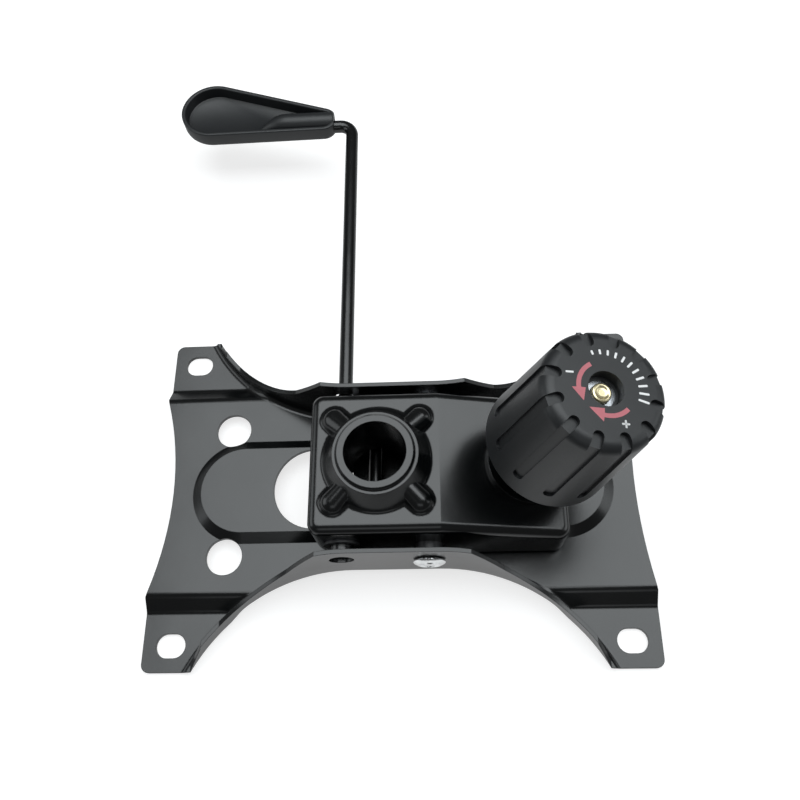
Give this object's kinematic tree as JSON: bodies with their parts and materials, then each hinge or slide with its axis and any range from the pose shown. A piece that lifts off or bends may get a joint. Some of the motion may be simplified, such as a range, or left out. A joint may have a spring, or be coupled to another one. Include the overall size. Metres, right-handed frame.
{
  "type": "seat swivel plate",
  "caption": "Office chair tilt mechanism: slotted pressed seat plate, hinged housing with a tapered gas lift socket, tension knob on a coil spring and a cranked lift lever.",
  "frame": {"origin": "centre of the four seat slots, on the face that bolts to the seat", "axes": "+X towards the tension knob, +Y along the lever towards its handle, +Z from the seat face to the mouth of the gas lift socket"},
  "size_m": [0.2485, 0.3313, 0.1296],
  "materials": {
    "black_ecoat": "semi-gloss black electro-coat",
    "spring_black": "black phosphate and oil",
    "bright_zinc": "bright zinc plate",
    "yellow_zinc": "yellow zinc plate",
    "black_plastic": "fine grained satin nylon",
    "black_nylon": "smooth moulded",
    "grey_nylon": "smooth moulded",
    "black_rubber": "matt"
  },
  "bodies": {
    "seat_base": {"seat_plate": "black_ecoat", "pivot_axle": "bright_zinc", "pivot_washers": "bright_zinc"},
    "housing": {"tilt_housing": "black_ecoat", "taper_socket": "black_ecoat", "socket_brace": "black_ecoat", "stop_buffer": "black_rubber", "pivot_bushes": "grey_nylon", "lock_bush": "black_nylon", "lever_bush": "black_nylon", "spring_seat": "black_ecoat", "tension_spring": "spring_black"},
    "lock_slider": {"lock_pin": "bright_zinc"},
    "lever": {"lever_rod": "black_ecoat", "lever_handle": "black_plastic"},
    "bolt": {"tension_bolt": "yellow_zinc"},
    "cap": {"spring_cap": "bright_zinc", "thrust_washer": "grey_nylon"},
    "knob": {"tension_knob": "black_plastic", "tension_nut": "bright_zinc"}
  },
  "joints": [
    {"name": "seat_tilt", "type": "hinge", "parent": "seat_base", "child": "housing", "pos_m": [0.0162, 0, 0.0295], "axis": [0, -1, 0], "range_deg": [0, 11], "stiffness_Nm_per_rad": 20, "springref_deg": -11.46},
    {"name": "lever_push", "type": "slide", "parent": "housing", "child": "lock_slider", "axis": [0, 1, 0], "range_m": [-0.006, 0]},
    {"name": "lever_lift", "type": "hinge", "parent": "lock_slider", "child": "lever", "pos_m": [-0.024, 0, 0.033], "axis": [0, -1, 0], "range_deg": [0, 15]},
    {"name": "bolt_swing", "type": "hinge", "parent": "seat_base", "child": "bolt", "pos_m": [0.05215, 0, 0.00304], "axis": [0, -1, 0], "range_deg": [-2, 7], "stiffness_Nm_per_rad": 4},
    {"name": "knob_travel", "type": "slide", "parent": "bolt", "child": "cap", "axis": [-0.2588, 0, -0.9659], "range_m": [-0.005, 0.01], "deforming": ["tension_spring"]},
    {"name": "knob_turn", "type": "hinge", "parent": "cap", "child": "knob", "pos_m": [0.05215, 0, 0.00304], "axis": [-0.2588, 0, -0.9659], "range_deg": [-1440, 2880]}
  ],
  "couplings": [
    {"joint": "knob_turn", "follows": "knob_travel", "rad_per_m": 5026.5}
  ]
}
